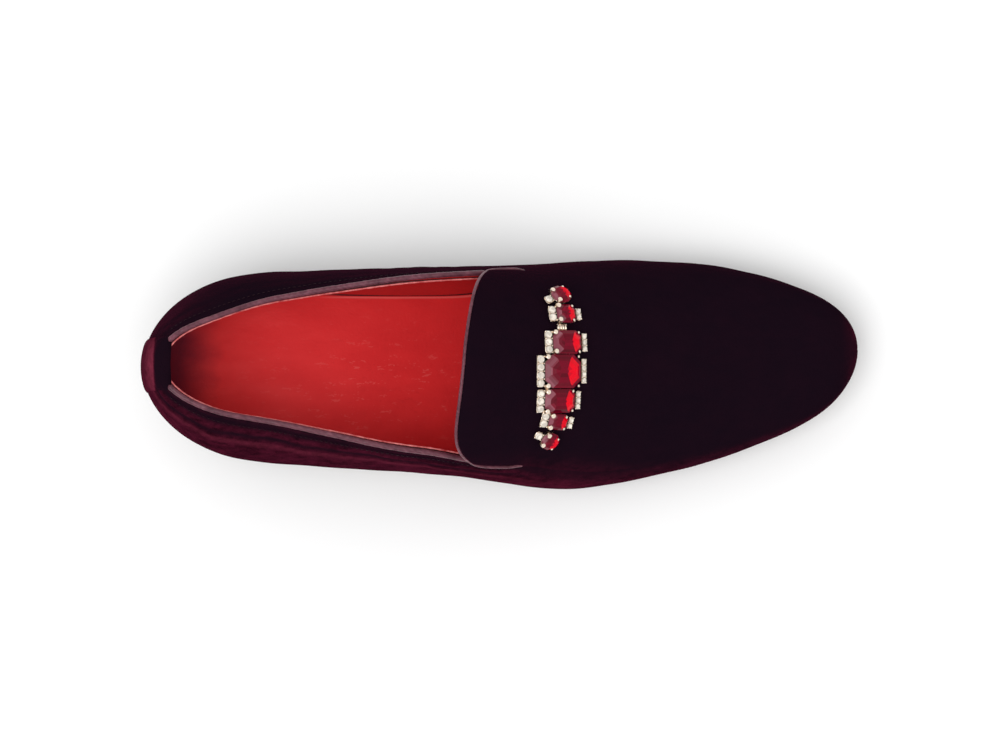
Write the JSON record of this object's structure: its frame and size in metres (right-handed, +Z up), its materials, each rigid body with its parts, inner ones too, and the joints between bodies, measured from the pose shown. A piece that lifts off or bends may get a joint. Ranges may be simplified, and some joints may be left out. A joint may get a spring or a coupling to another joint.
{
  "type": "velvet loafer",
  "caption": "Right velvet loafer with a hollow upper open at the collar, a piped vamp flap, a thin leather sole, a low stacked heel and a jewelled trim across the vamp.",
  "frame": {"origin": "on the floor, under the middle of the shoe's box", "axes": "+X to the toe, +Y to the medial side (the big toe's), +Z up"},
  "size_m": [0.2976, 0.0962, 0.0871],
  "materials": {
    "velvet": "deep burgundy velvet, near black seen straight on",
    "piping": "mauve satin-finished piping",
    "red_leather": "smooth red lining leather",
    "sole_leather": "dark burnished sole leather",
    "heel_rubber": "matt black rubber",
    "pale_gold": "polished pale gold plating",
    "red_stone": "faceted deep red glass",
    "clear_crystal": "faceted clear crystal on a foil back"
  },
  "bodies": {
    "root": {"outsole": "sole_leather", "heel_block": "sole_leather", "heel_top_lift": "heel_rubber", "insole": "red_leather", "upper": "velvet", "heel_tab": "velvet", "collar_piping_medial": "piping", "collar_piping_lateral": "piping", "throat_piping": "piping", "setting_1": "pale_gold", "setting_2": "pale_gold", "setting_3": "pale_gold", "setting_4": "pale_gold", "setting_5": "pale_gold", "setting_6": "pale_gold", "setting_7": "pale_gold", "link_2_3": "pale_gold", "stone_1": "red_stone", "stone_2": "red_stone", "stone_3": "red_stone", "stone_4": "red_stone", "stone_5": "red_stone", "stone_6": "red_stone", "stone_7": "red_stone", "crystals_1_heel": "clear_crystal", "crystals_2_heel": "clear_crystal", "crystals_3_heel": "clear_crystal", "crystals_4_heel": "clear_crystal", "crystals_5_heel": "clear_crystal", "crystals_6_heel": "clear_crystal", "crystals_7_heel": "clear_crystal", "crystals_2_toe": "clear_crystal", "crystals_3_toe": "clear_crystal", "crystals_4_toe": "clear_crystal", "crystals_5_toe": "clear_crystal", "crystals_6_toe": "clear_crystal"}
  },
  "joints": []
}
